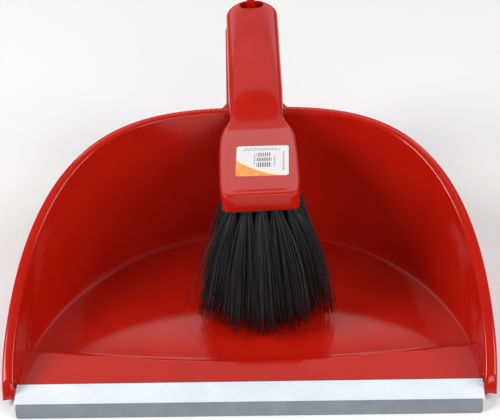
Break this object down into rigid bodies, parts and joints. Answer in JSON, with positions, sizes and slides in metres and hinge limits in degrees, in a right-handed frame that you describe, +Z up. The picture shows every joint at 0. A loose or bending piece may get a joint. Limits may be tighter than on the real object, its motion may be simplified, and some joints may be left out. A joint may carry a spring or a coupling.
{
  "type": "dustpan and brush",
  "caption": "Wide glossy dustpan with a raised back, a ramp with a soft lip and a comb on the rim, and a hand brush parked on its handle over a peg.",
  "frame": {"origin": "on the floor under the middle of the whole set's bounding box, with the pan standing on its base", "axes": "+X to the right of the lip, +Y from the lip back to the handles, +Z up"},
  "size_m": [0.3096, 0.3168, 0.129],
  "materials": {
    "red_plastic": "glossy moulded polypropylene, a little scuffed",
    "white_lip": "satin extruded plastic",
    "grey_lip": "soft extruded rubber, matt",
    "label_paper": null,
    "bristle": "black crimped synthetic filament, split at the tips"
  },
  "bodies": {
    "dustpan": {"pan_body": "red_plastic", "lip_holder": "white_lip", "lip_blade": "grey_lip"},
    "brush": {"brush_body": "red_plastic", "label": "label_paper", "tuft_r1_c1": "bristle", "tuft_r1_c2": "bristle", "tuft_r1_c3": "bristle", "tuft_r1_c4": "bristle", "tuft_r1_c5": "bristle", "tuft_r2_c1": "bristle", "tuft_r2_c2": "bristle", "tuft_r2_c3": "bristle", "tuft_r2_c4": "bristle", "tuft_r2_c5": "bristle", "tuft_r3_c1": "bristle", "tuft_r3_c2": "bristle", "tuft_r3_c3": "bristle", "tuft_r3_c4": "bristle", "tuft_r3_c5": "bristle", "tuft_r4_c1": "bristle", "tuft_r4_c2": "bristle", "tuft_r4_c3": "bristle", "tuft_r4_c4": "bristle", "tuft_r4_c5": "bristle", "tuft_r5_c1": "bristle", "tuft_r5_c2": "bristle", "tuft_r5_c3": "bristle", "tuft_r5_c4": "bristle", "tuft_r5_c5": "bristle", "tuft_r6_c1": "bristle", "tuft_r6_c2": "bristle", "tuft_r6_c3": "bristle", "tuft_r6_c4": "bristle", "tuft_r6_c5": "bristle", "tuft_r7_c1": "bristle", "tuft_r7_c2": "bristle", "tuft_r7_c3": "bristle", "tuft_r7_c4": "bristle", "tuft_r7_c5": "bristle", "tuft_r8_c1": "bristle", "tuft_r8_c2": "bristle", "tuft_r8_c3": "bristle", "tuft_r8_c4": "bristle", "tuft_r8_c5": "bristle", "tuft_r9_c1": "bristle", "tuft_r9_c2": "bristle", "tuft_r9_c3": "bristle", "tuft_r9_c4": "bristle", "tuft_r9_c5": "bristle", "tuft_r10_c1": "bristle", "tuft_r10_c2": "bristle", "tuft_r10_c3": "bristle", "tuft_r10_c4": "bristle", "tuft_r10_c5": "bristle"}
  },
  "joints": [
    {"name": "brush_lift", "type": "slide", "parent": "dustpan", "child": "brush", "axis": [0, 0, 1], "range_m": [0, 0.15]}
  ]
}
